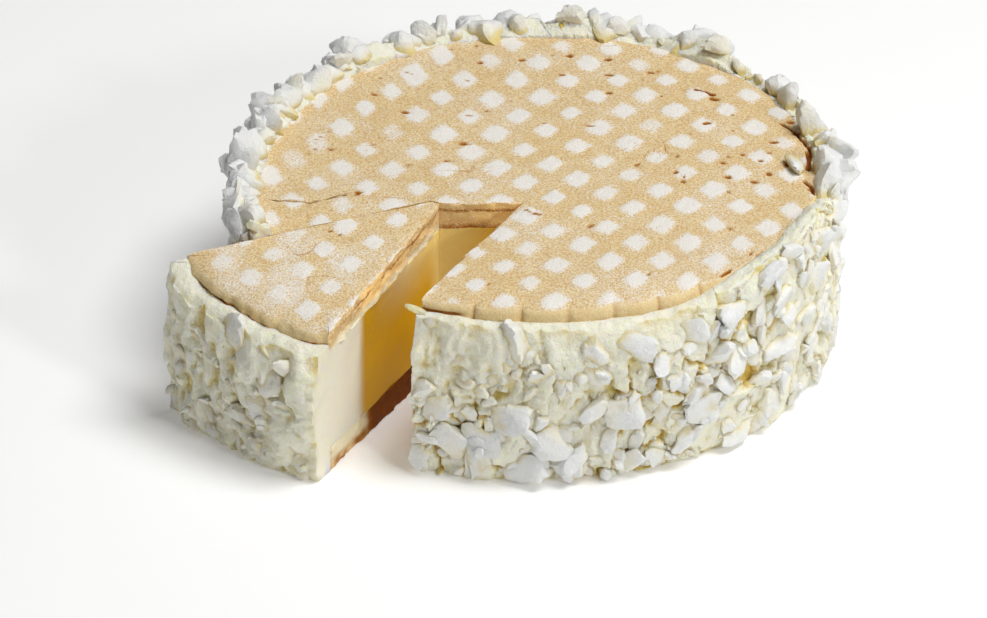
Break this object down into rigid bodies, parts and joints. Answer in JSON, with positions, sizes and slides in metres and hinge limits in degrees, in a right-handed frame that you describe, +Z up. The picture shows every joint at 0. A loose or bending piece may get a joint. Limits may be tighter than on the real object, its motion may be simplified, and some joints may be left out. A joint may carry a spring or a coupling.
{
  "type": "meringue layer cake",
  "caption": "Round layer cake of nut-meringue biscuits and cream, coated with broken meringue, with one wedge slice partly drawn out.",
  "frame": {"origin": "on the cake's axis at its underside", "axes": "+Z up, the notch and the slice open towards -Y and -X, +Y to the back"},
  "size_m": [0.2719, 0.2415, 0.0859],
  "materials": {
    "biscuit": "matt, crumbly baked nut meringue",
    "biscuit_top": "matt baked crust with icing-sugar diamonds",
    "cream": "soft satin whipped cream",
    "meringue": "chalky dry meringue"
  },
  "bodies": {
    "root": {"base_biscuit": "biscuit", "cream": "cream", "lid_biscuit": "biscuit_top", "lid_splinter": "biscuit_top", "loose_meringue": "meringue", "slice_base_biscuit": "biscuit", "slice_cream": "cream", "slice_lid_biscuit": "biscuit_top"}
  },
  "joints": []
}
